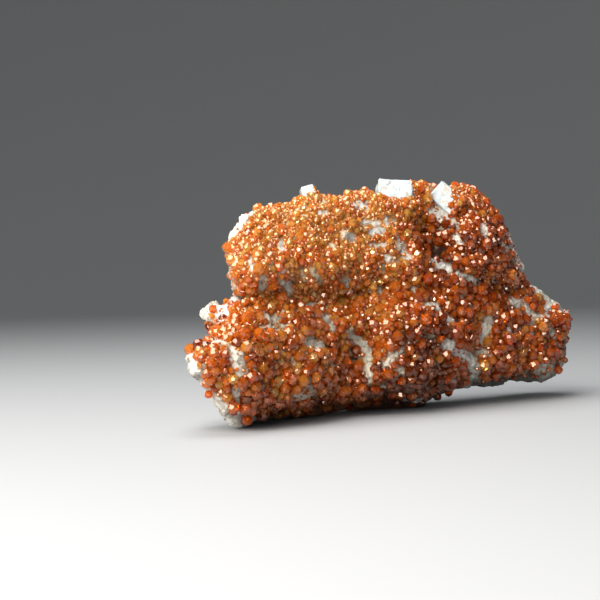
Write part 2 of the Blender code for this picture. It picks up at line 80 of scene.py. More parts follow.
# Garnet diameters: their limits, three classes as parts of the mean of their place, each class's share of the
# garnets, and how far size and redness spread round the mean.
SMALLEST, LARGEST = 0.50, 3.6
SIZE_CLASSES = (0.62, 0.95, 1.55)
SIZE_SHARES = (0.55, 0.41, 0.04)
SIZE_SPREAD = 0.30
REDNESS_SPREAD = 0.20

# How garnets are scattered: places tried on the plate and on each rim crystal, and the least gap between two
# centres as a part of the sum of their diameters.
SAMPLES = 260000
CRYSTAL_SAMPLES = 2500
CLOSENESS = 0.315
SEED = 11

# Where garnets grow: how surely the place is crusted, how far it is off the floor, the margin round a bare
# strip, and the noise above which the crust opens by itself.
CRUSTED_ENOUGH = 0.75
OFF_THE_FLOOR = 0.4
STRIP_MARGIN = 0.35
OPEN_GROUND = 0.47

# Small garnets sprinkled on bare stone: their share of the places there, and their size beside the others.
SPRINKLED = 0.025
SPRINKLED_SHARE = 0.6

# How far a garnet's centre stands out of the stone, from least to most, and how far it is off the floor at
# least, as parts of its diameter.
STANDS_OUT = (0.02, 0.32)
OFF_FLOOR_SHARE = 0.52

# Where the crust's pieces meet: the height between low and high, and u between left, middle and right.
LOW_TO_HIGH = 33.0
LEFT_TO_MIDDLE = -14.0
MIDDLE_TO_RIGHT = 16.0

# How much of a garnet's body is clear.
GARNET_CLEARNESS = 0.82

# The single garnets: their size beside their CAD solids, and the number of their tint.
SINGLE_GARNET_SIZE = 1.04
SINGLE_GARNET_TINT = np.array([3])

# Garnet tints, from gold to red: name, body colour, the colour left by absorption, density per mm.
GARNET_TINTS = [
    ("gold", "#ffb850", "#ffd85c", 0.06),
    ("amber", "#ffa23c", "#ffd246", 0.09),
    ("orange", "#ff8e2a", "#ffcc36", 0.12),
    ("deep_orange", "#f07618", "#ffc028", 0.17),
    ("red_orange", "#d25e10", "#ffb01e", 0.25),
    ("brown_red", "#963f08", "#ff9c18", 0.36),
]

# Mean garnet diameter and redness (-1 gold, 1 red) by place: name, u, v, reach, diameter, redness.
# The redness is partly the garnets' own colour and partly painted light: gold on the lit top left, deeper red
# as painted shade on the shaded right and bottom.
SIZE_ZONES = [
    ("top left slope", -24.0, 54.0, 14.0, 0.72, -0.78),
    ("top middle", -2.0, 52.0, 14.0, 0.78, -0.62),
    ("brow", -22.0, 41.0, 10.0, 1.15, -0.35),
    ("left wall", -38.0, 42.0, 8.0, 1.3, -0.25),
    ("middle", -4.0, 31.0, 12.0, 1.3, -0.35),
    ("lower left block", -35.0, 14.0, 12.0, 1.65, -0.12),
    ("left foot", -40.0, 1.0, 9.0, 2.4, 0.25),
    ("bay", -7.0, 12.0, 9.0, 1.9, 0.1),
    ("lower middle", 9.0, 6.0, 9.0, 2.0, 0.95),
    ("right lobe", 30.0, 50.0, 11.0, 1.35, 0.62),
    ("right top", 26.0, 62.5, 8.0, 0.8, -0.6),
    ("belly", 11.0, 25.0, 9.0, 1.5, 0.62),
    ("gully", 17.0, 47.0, 7.0, 2.0, 1.0),
    ("shoulder", 44.0, 20.0, 11.0, 1.8, 0.25),
]

# Bare feldspar on the front: name, one end (u, v), the other end, half-width, whiteness.
BARE_STRIPS = [
    ("upper left rim", (-43.0, 50.0), (-34.6, 59.2), 1.7, 1.0),
    ("end of that rim", (-37.5, 58.2), (-33.4, 60.2), 1.2, 1.0),
    ("left rim", (-41.6, 41.0), (-41.2, 31.5), 1.2, 0.9),
    ("left lump", (-50.5, 29.2), (-44.4, 29.0), 2.6, 1.0),
    ("left notch", (-48.6, 22.2), (-47.2, 20.6), 1.3, 1.0),
    ("behind the notch", (-46.4, 20.8), (-43.6, 20.2), 0.9, 0.7),
    ("left tip", (-57.5, 16.5), (-53.6, 14.8), 1.9, 0.9),
    ("inner tip", (-52.0, 14.6), (-50.2, 13.2), 1.2, 0.7),
    ("lower left edge", (-55.0, 12.0), (-45.0, 0.5), 2.9, 0.9),
    ("lower left foot", (-44.5, 0.0), (-41.0, -5.0), 3.2, 0.9),
    ("foot patch", (-41.4, 6.6), (-41.0, 0.6), 1.4, 0.8),
    ("beige patch", (-41.2, 17.4), (-39.6, 12.6), 2.2, 0.6),
    ("upper beige patch", (-31.2, 26.8), (-28.8, 26.8), 1.2, 0.5),
    ("ledge", (-34.0, 23.6), (-26.6, 24.3), 1.1, 0.4),
    ("crack", (-28.0, 16.8), (-24.5, 14.6), 1.0, 0.1),
    ("grey patch", (-20.6, 20.2), (-17.0, 18.6), 1.8, 0.5),
    ("ridge patch", (-15.6, 27.2), (-13.4, 24.0), 1.5, 0.7),
    ("lower left hem", (-24.2, 4.6), (-18.8, 5.2), 1.4, 0.5),
    ("hem pocket", (-21.0, 8.2), (-19.8, 7.2), 0.9, 0.6),
    ("bay top", (-8.4, 22.6), (-3.6, 17.8), 1.5, 0.5),
    ("bay floor", (-3.6, 17.0), (-3.0, 7.6), 1.5, 0.4),
    ("bay inlet", (-9.0, 18.0), (-6.8, 14.8), 1.0, 0.4),
    ("bay left", (-13.9, 12.8), (-13.0, 10.8), 1.2, 0.4),
    ("belly patch", (1.6, 13.4), (6.2, 16.4), 1.2, 0.4),
    ("belly tongue", (6.2, 16.4), (8.4, 18.8), 0.9, 0.5),
    ("lower patch", (5.4, 12.0), (6.8, 9.6), 1.1, 0.2),
    ("bottom patch", (0.8, 6.4), (1.4, 4.0), 1.1, 0.4),
    ("bottom right patch", (14.6, 13.6), (16.4, 12.0), 0.9, 0.5),
    ("brow pocket", (-9.6, 37.0), (-8.0, 36.4), 1.2, 0.6),
    ("grey under the brow", (-18.4, 40.4), (-16.8, 37.2), 1.1, 0.1),
    ("thin grey strip", (-21.8, 40.6), (-20.8, 37.4), 0.6, 0.3),
    ("left pocket high", (-35.8, 43.5), (-35.4, 41.0), 0.9, 0.8),
    ("left pocket middle", (-33.0, 38.0), (-32.4, 35.5), 1.1, 0.8),
    ("left pocket low", (-28.0, 39.6), (-27.4, 37.0), 0.9, 0.8),
    ("left pocket inner", (-25.6, 36.4), (-25.0, 33.6), 1.0, 0.8),
    ("under left pocket", (-20.6, 30.2), (-18.4, 30.2), 0.8, 0.9),
    ("slope pocket", (-27.6, 48.6), (-27.2, 45.8), 0.9, 0.9),
    ("slope fleck", (-16.2, 56.4), (-14.4, 56.4), 0.8, 1.0),
    ("slope patch", (-9.0, 50.0), (-7.0, 49.0), 1.4, 0.8),
    ("top pocket", (-5.6, 58.4), (-3.0, 58.2), 1.1, 1.0),
    ("top streak", (-4.0, 53.4), (0.2, 53.1), 0.7, 1.0),
    ("top fleck", (2.3, 54.6), (2.7, 52.8), 0.7, 1.0),
    ("upper pocket", (-1.6, 50.8), (1.0, 51.0), 1.1, 1.0),
    ("upper streak", (-2.0, 47.0), (1.6, 46.8), 0.7, 0.9),
    ("upper right pocket", (5.8, 49.0), (8.6, 42.8), 1.1, 0.8),
    ("middle pocket", (2.2, 43.4), (4.8, 42.4), 1.1, 0.8),
    ("middle fleck", (0.1, 34.2), (0.5, 32.8), 0.8, 0.6),
    ("under gully", (15.8, 43.2), (19.8, 40.0), 1.6, 0.9),
    ("below the right crystal", (16.8, 56.2), (20.2, 53.4), 1.9, 0.7),
    ("beside the gully", (20.4, 53.6), (23.2, 51.4), 0.9, 0.4),
    ("gully right", (22.2, 48.6), (23.4, 46.6), 1.0, 0.8),
    ("under the lobe", (23.0, 38.2), (28.2, 35.8), 1.0, 0.8),
    ("lobe pocket", (29.2, 51.2), (31.0, 48.0), 0.9, 0.9),
    ("lobe ring", (35.2, 46.4), (36.3, 44.6), 0.9, 0.9),
    ("middle grey pocket", (9.8, 34.2), (10.6, 33.4), 0.8, 0.3),
    ("belly right", (13.2, 29.8), (16.6, 28.6), 1.0, 0.8),
    ("belly right low", (18.8, 26.6), (21.4, 24.2), 1.1, 0.8),
    ("belly fleck", (21.4, 32.0), (23.6, 31.6), 0.7, 0.5),
    ("green pocket", (14.0, 21.2), (15.4, 20.6), 0.9, 0.1),
    ("right patch", (31.2, 25.2), (28.6, 19.0), 1.4, 0.6),
    ("mid right patch", (19.4, 18.4), (23.4, 15.4), 1.8, 1.0),
    ("white foot", (25.6, 14.4), (27.4, 8.4), 2.2, 0.9),
    ("above the white foot", (28.6, 16.4), (31.0, 15.4), 0.9, 0.6),
    ("shoulder pocket", (37.6, 30.4), (39.2, 29.2), 1.1, 0.9),
    ("shoulder strip", (41.4, 31.0), (42.6, 26.6), 1.1, 0.6),
    ("shoulder frame top", (43.8, 26.2), (47.8, 25.8), 0.7, 0.9),
    ("shoulder frame side", (43.2, 25.0), (43.0, 21.0), 0.8, 0.8),
    ("shoulder fleck", (36.4, 22.2), (37.4, 21.4), 0.9, 1.0),
    ("shoulder face", (48.6, 22.8), (49.4, 20.0), 1.0, 0.7),
    ("right underside", (29.0, 5.5), (44.0, 8.4), 2.9, 0.3),
    ("right end", (44.0, 9.0), (53.0, 11.6), 2.9, 0.45),
    ("right edge", (52.8, 17.0), (53.2, 13.5), 1.0, 0.5),
    ("shoulder rim", (44.0, 35.0), (54.4, 26.6), 2.2, 1.0),
    ("right rim", (37.8, 51.6), (42.0, 38.5), 2.3, 1.0),
]

# Painted shade in recesses and undersides, mixed into the feldspar's colour where it faces the camera: name,
# one end (u, v), the other end, half-width, strength of the painted shade.
PAINTED_SHADE_STRIPS = [
    ("gully recess", (16.2, 45.2), (20.6, 45.4), 1.0, 1.0),
    ("beside the lobe", (33.6, 32.8), (36.6, 32.4), 0.9, 1.0),
    ("left wall foot", (-40.4, 34.0), (-39.2, 32.8), 0.8, 1.0),
    ("belly crack", (4.4, 22.5), (6.6, 21.8), 0.6, 1.0),
    ("bay crack", (-8.2, 15.3), (-6.2, 14.9), 0.7, 1.0),
    ("brow crack", (-27.8, 42.0), (-26.8, 41.0), 0.5, 1.0),
    ("bottom crack", (6.8, 4.6), (8.6, 3.0), 0.8, 1.0),
    ("right underside", (28.0, 5.0), (42.0, 7.5), 3.0, 0.75),
    ("far underside", (42.0, 7.5), (50.0, 8.0), 2.0, 0.45),
]

# Folds of the garnet face: name, one end (u, v), the other end, half-width, height.
FOLDS = [
    ("gully", (13.5, 53.0), (16.5, 46.5), 3.4, -3.2),
    ("under the lobe", (20.0, 40.0), (33.0, 36.5), 2.6, -1.4),
    ("brow", (-38.0, 40.5), (-12.0, 38.0), 4.0, 1.3),
    ("under the brow", (-38.0, 34.0), (-10.0, 32.0), 3.4, -0.9),
    ("gully recess", (15.8, 45.2), (20.4, 45.3), 1.3, -3.6),
    ("beside the lobe", (33.6, 32.8), (36.6, 32.4), 1.2, -2.0),
    ("rim bump", (-5.2, 60.8), (-3.2, 61.4), 2.2, 1.8),
    ("bay", (-6.0, 20.0), (-7.0, 8.0), 3.6, -1.8),
    ("belly", (4.0, 27.0), (12.0, 24.0), 5.0, 1.2),
    ("below the belly", (14.0, 17.0), (22.0, 15.5), 2.6, -1.2),
    ("lobe", (28.0, 51.0), (34.0, 44.0), 5.0, 1.2),
    ("right of the belly", (26.5, 30.0), (29.0, 19.0), 2.8, -1.3),
    ("bottom middle", (-12.0, 2.0), (20.0, 5.0), 6.0, -1.6),
]

# The three feldspar crystals on the top rim: name, centre, size, and turns in degrees.
RIM_CRYSTALS = [
    ("feldspar_crystal_left", (-23.79, 2.59, 60.48), (4.0, 5.0, 6.0), (-8.0, -16.0, -32.0)),
    ("feldspar_crystal_top", (7.35, 1.99, 60.13), (10.0, 8.5, 9.0), (-16.0, 4.0, -36.0)),
    ("feldspar_crystal_right", (24.72, -2.22, 59.77), (8.8, 8.5, 6.4), (-6.0, 42.0, -54.0)),
]
CRYSTAL_BEVEL = 0.45
CRYSTAL_CELL = 0.35

# Where garnets grow on those crystals: name, one end (u, v), the other end, half-width, how surely they grow.
GARNETS_ON_CRYSTALS = [
    ("right crystal's end", (25.0, 63.5), (24.2, 54.5), 3.5, 1.0),
    ("right crystal's top", (21.0, 65.0), (24.0, 62.5), 1.1, 1.0),
    ("left crystal's side", (-16.3, 64.6), (-15.9, 60.5), 1.1, 1.0),
    ("left crystal's foot", (-18.6, 61.4), (-17.8, 61.0), 0.9, 1.0),
    ("top crystal's corner", (10.8, 66.0), (12.4, 60.0), 1.2, 1.0),
    ("top crystal's edge", (5.4, 66.4), (7.4, 66.6), 0.7, 1.0),
    ("top crystal's foot", (0.0, 59.2), (10.0, 58.8), 1.4, 1.0),
]

# Garnets that stand out in the crust: u, v, diameter, redness from 0 gold to 1 brown red.
LARGE_GARNETS = [
    (-42.0, 47.0, 3.2, 0.40),
    (-39.3, 46.0, 3.0, 0.45),
    (-36.5, 51.2, 2.0, 0.70),
    (-38.5, 51.0, 1.8, 0.65),
    (-32.6, 53.5, 1.8, 0.20),
    (-30.5, 47.2, 3.0, 0.60),
    (-26.0, 45.2, 2.6, 0.60),
    (-22.0, 42.4, 2.6, 0.58),
    (-19.8, 42.4, 2.6, 0.55),
    (-15.8, 42.0, 2.6, 0.50),
    (-14.0, 49.2, 1.8, 0.05),
    (-15.0, 47.2, 1.6, 0.10),
    (-17.8, 46.6, 1.6, 0.50),
    (-11.6, 48.0, 1.8, 0.50),
    (-22.6, 51.5, 1.5, 0.10),
    (-35.3, 36.8, 2.8, 0.50),
    (-37.9, 36.5, 2.8, 0.58),
    (-37.8, 31.2, 2.4, 0.45),
    (-32.2, 31.6, 2.8, 0.48),
    (-24.6, 31.0, 2.2, 0.75),
    (-12.3, 36.8, 2.6, 0.52),
    (-16.4, 30.6, 2.6, 0.38),
    (-23.4, 34.4, 1.8, 0.35),
    (-24.0, 37.4, 1.6, 0.95),
    (-30.2, 38.4, 1.6, 0.60),
    (-27.6, 38.4, 1.6, 0.20),
    (-39.3, 27.6, 2.2, 0.30),
    (-32.2, 39.8, 2.2, 0.20),
    (3.0, 57.6, 2.6, 0.60),
    (4.6, 56.4, 2.0, 0.52),
    (2.0, 58.9, 2.0, 0.58),
    (8.0, 59.0, 3.0, 0.48),
    (1.0, 54.8, 1.8, 0.20),
    (6.0, 54.9, 1.8, 0.20),
    (13.5, 56.8, 2.4, 0.45),
    (11.5, 58.6, 2.6, 0.40),
    (12.6, 52.3, 2.8, 0.48),
    (12.0, 48.6, 3.2, 0.68),
    (18.0, 47.4, 3.6, 0.80),
    (19.0, 52.2, 3.2, 0.90),
    (16.4, 52.5, 2.6, 0.75),
    (11.2, 45.8, 2.6, 0.80),
    (6.5, 51.6, 2.4, 0.68),
    (6.6, 48.5, 2.0, 0.42),
    (2.0, 48.8, 2.2, 0.38),
    (-0.4, 49.2, 2.0, 0.42),
    (-5.0, 44.0, 2.0, 0.38),
    (-3.0, 44.2, 2.0, 0.48),
    (-8.4, 40.2, 1.8, 0.42),
    (0.8, 43.4, 1.8, 0.52),
    (4.7, 43.2, 1.8, 0.12),
    (-0.2, 41.4, 1.6, 0.15),
    (-7.6, 36.3, 2.2, 0.35),
    (2.6, 34.2, 2.2, 0.30),
    (6.8, 32.0, 2.4, 0.36),
    (1.2, 31.8, 2.6, 0.52),
    (12.0, 39.8, 1.8, 0.30),
    (14.0, 38.2, 3.2, 0.48),
    (17.6, 36.9, 3.0, 0.72),
    (7.0, 37.4, 2.4, 0.60),
    (13.4, 32.3, 3.0, 0.72),
    (-5.5, 33.0, 3.0, 0.85),
    (24.6, 56.0, 3.2, 0.80),
    (28.2, 57.2, 3.4, 0.62),
    (31.3, 53.9, 1.8, 0.48),
    (33.4, 55.6, 2.2, 0.42),
    (26.0, 50.2, 2.8, 0.68),
    (26.2, 46.4, 3.2, 0.72),
    (22.6, 45.6, 2.2, 0.50),
    (22.5, 42.6, 3.6, 0.66),
    (33.8, 42.4, 2.4, 0.45),
    (34.9, 45.4, 1.8, 0.32),
    (33.2, 47.8, 2.4, 0.75),
    (36.6, 42.2, 2.4, 0.55),
    (31.5, 43.6, 2.4, 0.80),
    (27.0, 41.3, 3.0, 0.80),
    (32.0, 37.6, 2.8, 0.75),
    (35.5, 38.2, 2.6, 0.80),
    (38.0, 37.2, 2.4, 0.75),
    (32.6, 32.9, 2.2, 0.52),
    (36.0, 33.9, 3.0, 0.92),
    (24.2, 33.6, 3.2, 0.54),
    (26.0, 32.0, 2.6, 0.54),
    (-45.6, 24.6, 3.0, 0.52),
    (-46.6, 25.8, 2.6, 0.46),
    (-45.4, 22.4, 2.8, 0.45),
    (-40.0, 24.2, 2.4, 0.40),
    (-50.8, 20.4, 2.6, 0.45),
    # Painted glint: a small crystal tinted gold where a glint falls.
    (-52.0, 18.4, 1.8, 0.05),
    (-46.8, 18.0, 3.2, 0.58),
    (-43.6, 17.0, 2.8, 0.68),
    (-49.9, 15.4, 2.4, 0.80),
    (-50.6, 14.0, 2.0, 0.30),
    (-47.6, 14.4, 3.0, 0.54),
    (-42.1, 12.3, 2.2, 0.40),
    (-43.1, 9.4, 2.6, 0.36),
    (-46.8, 7.2, 2.6, 0.75),
    (-44.8, 6.4, 2.2, 0.45),
    (-45.2, 10.6, 2.6, 0.62),
    (-42.2, 4.0, 2.0, 0.60),
    (-42.2, 1.0, 3.0, 0.70),
    (-38.3, -1.7, 3.6, 0.55),
    (-35.6, -1.0, 2.2, 0.45),
    (-36.4, 3.6, 3.0, 0.62),
    (-34.6, 2.4, 2.6, 0.25),
    (-31.9, 2.0, 3.4, 0.44),
    (-28.9, 4.0, 2.4, 0.60),
    (-26.4, 3.4, 2.0, 0.42),
    (-27.6, 7.0, 3.2, 0.44),
    (-31.1, 8.6, 2.4, 0.40),
    (-31.6, 13.4, 3.0, 0.80),
    (-36.5, 16.4, 2.4, 0.75),
    (-36.2, 20.4, 2.2, 0.45),
    (-31.6, 18.6, 3.0, 0.45),
    (-28.6, 18.8, 2.4, 0.36),
    (-25.2, 17.4, 2.4, 0.45),
    (-22.0, 16.0, 2.0, 0.62),
    (-24.1, 26.8, 3.2, 0.54),
    (-35.2, 23.6, 2.6, 0.80),
    (-38.0, 24.6, 2.2, 0.52),
    (-22.0, 13.6, 2.2, 0.50),
    (-17.6, 11.6, 3.4, 0.54),
    (-21.0, 2.6, 2.6, 0.76),
    (-24.4, 1.0, 2.4, 0.88),
    (-21.4, -0.6, 3.0, 0.92),
    (-3.0, 27.8, 3.0, 0.30),
    (1.8, 26.6, 2.4, 0.32),
    (3.4, 28.4, 2.2, 0.52),
    (-3.8, 24.4, 2.0, 0.22),
    (-0.8, 22.6, 2.6, 0.60),
    (6.6, 28.8, 2.6, 0.54),
    (13.4, 18.7, 2.4, 0.54),
    (18.2, 22.6, 3.4, 0.88),
    (14.4, 22.6, 2.6, 0.82),
    (21.0, 21.0, 3.4, 0.75),
    (-7.0, 17.6, 3.4, 0.70),
    (-1.0, 17.4, 2.2, 0.54),
    (-11.2, 16.0, 2.6, 0.45),
    (-13.6, 17.0, 2.6, 0.60),
    (-11.4, 13.2, 2.2, 0.55),
    (-9.0, 13.2, 2.2, 0.46),
    (-13.8, 8.2, 2.4, 0.42),
    (-8.6, 8.6, 2.4, 0.70),
    (-4.4, 8.8, 2.6, 0.88),
    (-2.2, 12.0, 1.8, 0.82),
    (-1.4, 6.8, 3.2, 0.76),
    (3.6, 9.4, 3.4, 0.86),
    (12.0, 12.6, 3.0, 0.80),
    (12.6, 6.6, 3.4, 0.92),
    (17.8, 7.4, 3.4, 0.76),
    (19.4, 5.0, 3.0, 0.82),
    (15.6, 4.2, 3.0, 0.92),
    (12.2, 3.2, 2.8, 0.92),
    (-12.6, 4.0, 2.0, 0.55),
    (-16.2, 3.4, 3.0, 0.92),
    (-14.6, 1.0, 2.8, 0.92),
    (-9.0, 1.4, 3.0, 0.92),
    (-6.2, 3.2, 2.6, 0.76),
    (-3.9, 2.6, 2.6, 0.70),
    (-1.2, 2.4, 2.6, 0.76),
    (3.2, 4.4, 2.8, 0.66),
    (4.6, 2.2, 2.6, 0.86),
    (9.4, 1.8, 2.2, 0.76),
    (19.8, 11.2, 2.6, 0.70),
    (38.4, 26.8, 3.0, 0.45),
    (40.8, 27.8, 2.2, 0.42),
    (43.4, 33.0, 2.6, 0.76),
    (33.8, 26.8, 2.2, 0.45),
    (27.8, 28.6, 2.4, 0.32),
    (26.2, 25.0, 2.8, 0.64),
    (23.4, 24.2, 2.2, 0.45),
    (32.8, 22.2, 3.2, 0.80),
    (32.8, 19.0, 2.6, 0.80),
    (36.6, 17.2, 3.4, 0.68),
    (32.6, 15.8, 3.4, 0.80),
    (27.6, 17.6, 2.8, 0.68),
    (25.6, 17.0, 2.6, 0.60),
    (38.0, 13.6, 2.0, 0.45),
    (31.6, 11.6, 2.4, 0.64),
    (34.4, 11.2, 2.8, 0.64),
    (32.4, 9.4, 2.4, 0.80),
    (22.4, 12.2, 2.6, 0.76),
    (41.8, 16.9, 2.2, 0.42),
    (46.4, 17.0, 3.0, 0.85),
    (46.6, 20.6, 3.0, 0.92),
    (48.6, 18.4, 2.4, 0.54),
    (51.8, 18.2, 2.8, 0.58),
    (53.4, 22.2, 2.6, 0.50),
    (52.6, 24.4, 2.2, 0.45),
    (46.6, 13.6, 2.6, 0.64),
    (49.0, 13.6, 1.8, 0.55),
    (50.2, 11.2, 2.2, 0.70),
    (43.0, 22.0, 2.4, 0.60),
    (46.0, 24.5, 1.8, 0.32),
    (48.4, 26.4, 2.0, 0.70),
]

# A direction along which no two points of a crystal lie level, to number them by.
SORTING_SLANT = Vector((1.0, 0.6183, 0.2871))


def linear(hex_colour):
    """An sRGB hex colour as linear RGBA."""
    parts = [int(hex_colour[i : i + 2], 16) / 255 for i in (1, 3, 5)]
    return [c / 12.92 if c <= 0.04045 else ((c + 0.055) / 1.055) ** 2.4 for c in parts] + [1.0]


def add_node(tree, kind, settings=None, inputs=None, links=None):
    """A node with its settings, its input values, and links from other nodes' outputs to its inputs."""
    made = tree.nodes.new(kind)
    for name, value in (settings or {}).items():
        setattr(made, name, value)
    for name, value in (inputs or {}).items():
        made.inputs[name].default_value = value
    for name, output in (links or {}).items():
        tree.links.new(output, made.inputs[name])
    return made


def new_material(name):
    material = bpy.data.materials.new(name)
    material.use_nodes = True
    material.node_tree.nodes.clear()
    return material, material.node_tree


def ramp(tree, factor, stops):
    """A colour ramp over a factor: stops are places and hex colours."""
    made = add_node(tree, "ShaderNodeValToRGB", links={"Fac": factor})
    points = made.color_ramp.elements
    while len(points) < len(stops):
        points.new(1.0)
    for point, (place, colour) in zip(points, stops):
        point.position = place
        point.color = linear(colour)
    return made.outputs["Color"]


def feldspar_material():
    """Broken feldspar: chalky on the rims, beige and grey where it lies open, matt, with a fine grain;
    painted shade, brown and tinted by the garnets' orange, under and between the garnets, and painted shadow
    in recesses and undersides.
    """
    material, tree = new_material("broken_feldspar")
    place = add_node(tree, "ShaderNodeTexCoord").outputs["Object"]
    white = add_node(tree, "ShaderNodeAttribute", {"attribute_name": "whiteness"}).outputs["Fac"]
    bare = add_node(tree, "ShaderNodeAttribute", {"attribute_name": "bareness"}).outputs["Fac"]
    gap_shade_factor = add_node(tree, "ShaderNodeAttribute", {"attribute_name": "painted_gap_shade"}).outputs["Fac"]
    painted_shade_mask = add_node(tree, "ShaderNodeAttribute", {"attribute_name": "painted_shade"}).outputs["Fac"]
    stain = add_node(
        tree,
        "ShaderNodeTexNoise",
        inputs={"Scale": 1 / (9 * MM), "Detail": 6.0, "Roughness": 0.62},
        links={"Vector": place},
    ).outputs["Fac"]
    grain = add_node(
        tree,
        "ShaderNodeTexNoise",
        inputs={"Scale": 1 / (0.9 * MM), "Detail": 5.0, "Roughness": 0.7},
        links={"Vector": place},
    ).outputs["Fac"]
    cells = add_node(
        tree, "ShaderNodeTexVoronoi", inputs={"Scale": 1 / (1.6 * MM)}, links={"Vector": place}
    ).outputs["Distance"]
    # Painted shade between the garnets: brown tinted by their orange light, darker in the zones that lie in
    # shade.
    painted_gap_colour = ramp(tree, gap_shade_factor, [(0.10, "#bc9870"), (0.45, "#8a5c34"), (0.85, "#40200e")])
    ground = ramp(tree, stain, [(0.32, "#6a5c44"), (0.45, "#94866c"), (0.56, "#ac9f86"), (0.72, "#c4b8a0")])
    chalk = ramp(tree, stain, [(0.30, "#98968c"), (0.50, "#b8b7b0"), (0.70, "#c8cac9")])
    open_face = add_node(
        tree, "ShaderNodeMix", {"data_type": "RGBA"}, links={"Factor": white, "A": ground, "B": chalk}
    )
    base = add_node(
        tree,
        "ShaderNodeMix",
        {"data_type": "RGBA"},
        links={"Factor": bare, "A": painted_gap_colour, "B": open_face.outputs["Result"]},
    )
    # Painted shadow: the stone's colour goes towards near black in the recesses and undersides.
    shaded = add_node(
        tree,
        "ShaderNodeMix",
        {"data_type": "RGBA"},
        {"B": linear("#1e1a14")},
        {"Factor": painted_shade_mask, "A": base.outputs["Result"]},
    )
    speck = ramp(tree, grain, [(0.34, "#8a8170"), (0.50, "#ffffff")])
    colour = add_node(
        tree,
        "ShaderNodeMix",
        {"data_type": "RGBA", "blend_type": "MULTIPLY"},
        {"Factor": 0.8},
        {"A": shaded.outputs["Result"], "B": speck},
    )
    height = add_node(tree, "ShaderNodeMath", {"operation": "MULTIPLY_ADD"}, {1: 0.5}, {0: cells, 2: grain})
    bump = add_node(
        tree,
        "ShaderNodeBump",
        inputs={"Strength": 1.0, "Distance": 0.6 * MM},
        links={"Height": height.outputs[0]},
    )
    shader = add_node(
        tree,
        "ShaderNodeBsdfPrincipled",
        inputs={"Roughness": 0.72, "IOR": 1.53},
        links={"Base Color": colour.outputs["Result"], "Normal": bump.outputs["Normal"]},
    )
    add_node(tree, "ShaderNodeOutputMaterial", links={"Surface": shader.outputs["BSDF"]})
    return material


def crystal_material():
    """Feldspar crystal faces: bluish white, satin, with fine cleavage lines."""
    material, tree = new_material("feldspar_crystal_face")
    place = add_node(tree, "ShaderNodeTexCoord").outputs["Object"]
    cloud = add_node(
        tree,
        "ShaderNodeTexNoise",
        inputs={"Scale": 1 / (3.5 * MM), "Detail": 5.0, "Roughness": 0.6},
        links={"Vector": place},
    ).outputs["Fac"]
    lines = add_node(
        tree,
        "ShaderNodeTexWave",
        {"bands_direction": "Z"},
        {"Scale": 1 / (12 * MM), "Distortion": 5.0, "Detail": 3.0},
        {"Vector": place},
    ).outputs["Fac"]
    colour = ramp(tree, cloud, [(0.36, "#857f70"), (0.47, "#949c9e"), (0.60, "#9eacb4")])
    height = add_node(tree, "ShaderNodeMath", {"operation": "MULTIPLY_ADD"}, {1: 0.3}, {0: lines, 2: cloud})
    bump = add_node(
        tree,
        "ShaderNodeBump",
        inputs={"Strength": 0.6, "Distance": 0.3 * MM},
        links={"Height": height.outputs[0]},
    )
    shader = add_node(
        tree,
        "ShaderNodeBsdfPrincipled",
        inputs={"Roughness": 0.5, "IOR": 1.53},
        links={"Base Color": colour, "Normal": bump.outputs["Normal"]},
    )
    add_node(tree, "ShaderNodeOutputMaterial", links={"Surface": shader.outputs["BSDF"]})
    return material


def garnet_material(name, body_colour, absorbed_colour, density):
    """Spessartine: glassy, slightly cloudy crystal, whose orange deepens with the light's path through it."""
    material, tree = new_material(name)
    shader = add_node(
        tree,
        "ShaderNodeBsdfPrincipled",
        inputs={
            "Base Color": linear(body_colour),
            "Roughness": 0.06,
            "IOR": 1.80,
            "Specular Tint": linear("#ffe4d0"),
            "Transmission Weight": GARNET_CLEARNESS,
        },
    )
    absorbed = add_node(
        tree, "ShaderNodeVolumeAbsorption", inputs={"Color": linear(absorbed_colour), "Density": density}
    )
    add_node(
        tree,
        "ShaderNodeOutputMaterial",
        links={"Surface": shader.outputs["BSDF"], "Volume": absorbed.outputs["Volume"]},
    )
    return material


def floor_material():
    material, tree = new_material("pale_studio_board")
    shader = add_node(
        tree, "ShaderNodeBsdfPrincipled", inputs={"Base Color": linear("#8c8e90"), "Roughness": 0.6}
    )
    add_node(tree, "ShaderNodeOutputMaterial", links={"Surface": shader.outputs["BSDF"]})
    return material


def seen_at(points):
    """Where the camera sees points of the specimen, as u and v."""
    cos, sin = math.cos(FACE_YAW), math.sin(FACE_YAW)
    x, y, z = (points + np.array([*BASE_CENTRE, 0.0])).T
    depth = x * sin + y * cos
    far = (SIGHT_DISTANCE + depth) / SIGHT_DISTANCE
    u = SIGHT_U + (x * cos - y * sin - SIGHT_U) / far
    return u, SIGHT_HEIGHT + (z - SIGHT_HEIGHT) / far


def sampled(points, wavelength, octaves=3, offset=0.0):
    """Fractal noise at points, about -1 to 1."""
    shift = Vector((offset, offset * 1.7, offset * 0.6))
    return np.array(
        [noise.fractal(Vector(p) / wavelength + shift, 0.8, 2.1, octaves) for p in points.tolist()]
    )


def facets(points, size, offset=0.0):
    """A relief of small tilted planes, one in each random cell, as on a broken surface of crystal grains."""
    heights = np.empty(len(points))
    shift = Vector((offset, offset, offset))
    for index, point in enumerate(points.tolist()):
        place = Vector(point) / size + shift
        centre = noise.voronoi(place)[1][0]
        tilt = noise.noise_vector(centre * 3.7)
        heights[index] = (place - centre).dot(tilt) * 2.0
    return heights


def from_line(start, end, u, v):
    """How far places are from the line between two ends."""
    along_u, along_v = end[0] - start[0], end[1] - start[1]
    share = ((u - start[0]) * along_u + (v - start[1]) * along_v) / (along_u**2 + along_v**2)
    share = np.clip(share, 0, 1)
    return np.hypot(u - start[0] - share * along_u, v - start[1] - share * along_v)


def open_ground(places):
    """High where the crust opens by itself, beside the bare strips."""
    return sampled(places, 4.0, 3, 20.0)


